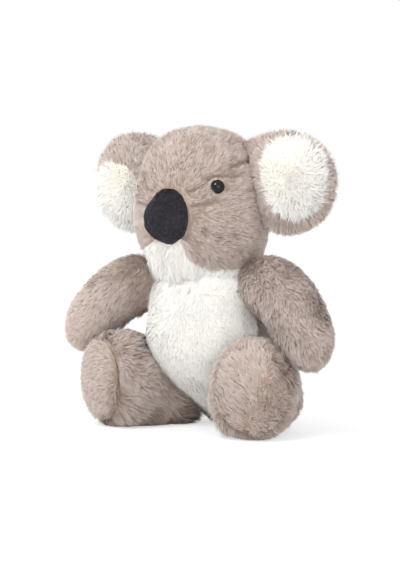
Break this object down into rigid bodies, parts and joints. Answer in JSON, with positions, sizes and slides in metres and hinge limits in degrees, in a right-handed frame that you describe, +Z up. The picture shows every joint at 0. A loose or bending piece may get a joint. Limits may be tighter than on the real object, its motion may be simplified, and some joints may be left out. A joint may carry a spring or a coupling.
{
  "type": "seated plush koala",
  "caption": "Seated stuffed koala in sewn plush skins, with round lined ears, a padded nose, safety eyes and a weighted seat.",
  "frame": {"origin": "on the surface that the koala sits on, below the middle of its bounding box", "axes": "+Z up, the face looks along -Y, +X towards the koala's left side"},
  "size_m": [0.2818, 0.1356, 0.258],
  "materials": {
    "taupe_plush": "long soft nap",
    "white_plush": "short curly nap",
    "nose_velour": "short velour",
    "eye_plastic": "polished",
    "washer_plastic": "moulded",
    "stuffing": "loose fibre",
    "bag_cloth": "plain weave"
  },
  "bodies": {
    "torso": {"body_back_skin": "taupe_plush", "belly_panel": "white_plush", "body_stuffing": "stuffing", "pellet_bag": "bag_cloth"},
    "head": {"head_skin": "taupe_plush", "muzzle_panel": "white_plush", "head_stuffing": "stuffing", "nose_pad": "nose_velour", "eye_left": "eye_plastic", "eye_right": "eye_plastic", "eye_washer_left": "washer_plastic", "eye_washer_right": "washer_plastic"},
    "ear_left": {"ear_back_left": "taupe_plush", "ear_lining_left": "white_plush"},
    "ear_right": {"ear_back_right": "taupe_plush", "ear_lining_right": "white_plush"},
    "arm_left": {"arm_skin_left": "taupe_plush", "arm_stuffing_left": "stuffing"},
    "arm_right": {"arm_skin_right": "taupe_plush", "arm_stuffing_right": "stuffing"},
    "leg_left": {"leg_skin_left": "taupe_plush", "leg_stuffing_left": "stuffing", "foot_sole_left": "taupe_plush"},
    "leg_right": {"leg_skin_right": "taupe_plush", "leg_stuffing_right": "stuffing", "foot_sole_right": "taupe_plush"}
  },
  "joints": [
    {"name": "head_turn", "type": "hinge", "parent": "torso", "child": "head", "pos_m": [0, -0.00082, 0.132], "axis": [0, 0, 1], "range_deg": [-20, 20], "stiffness_Nm_per_rad": 0.15},
    {"name": "ear_left_fold", "type": "hinge", "parent": "head", "child": "ear_left", "pos_m": [0.057, 0.00418, 0.211], "axis": [0.2419, 0, -0.9703], "range_deg": [-12, 12], "stiffness_Nm_per_rad": 0.02},
    {"name": "ear_right_fold", "type": "hinge", "parent": "head", "child": "ear_right", "pos_m": [-0.057, 0.00418, 0.211], "axis": [0.2419, 0, 0.9703], "range_deg": [-12, 12], "stiffness_Nm_per_rad": 0.02},
    {"name": "arm_left_swing", "type": "hinge", "parent": "torso", "child": "arm_left", "pos_m": [0.046, -0.00082, 0.112], "axis": [-1, 0, 0], "range_deg": [0, 30], "stiffness_Nm_per_rad": 0.08},
    {"name": "arm_right_swing", "type": "hinge", "parent": "torso", "child": "arm_right", "pos_m": [-0.046, -0.00082, 0.112], "axis": [-1, 0, 0], "range_deg": [0, 30], "stiffness_Nm_per_rad": 0.08},
    {"name": "leg_left_swing", "type": "hinge", "parent": "torso", "child": "leg_left", "pos_m": [0.05234, 0.00922, 0.0415], "axis": [0, 0, 1], "range_deg": [-10, 0], "stiffness_Nm_per_rad": 0.1},
    {"name": "leg_right_swing", "type": "hinge", "parent": "torso", "child": "leg_right", "pos_m": [-0.05234, 0.00922, 0.0415], "axis": [0, 0, -1], "range_deg": [-10, 0], "stiffness_Nm_per_rad": 0.1}
  ]
}
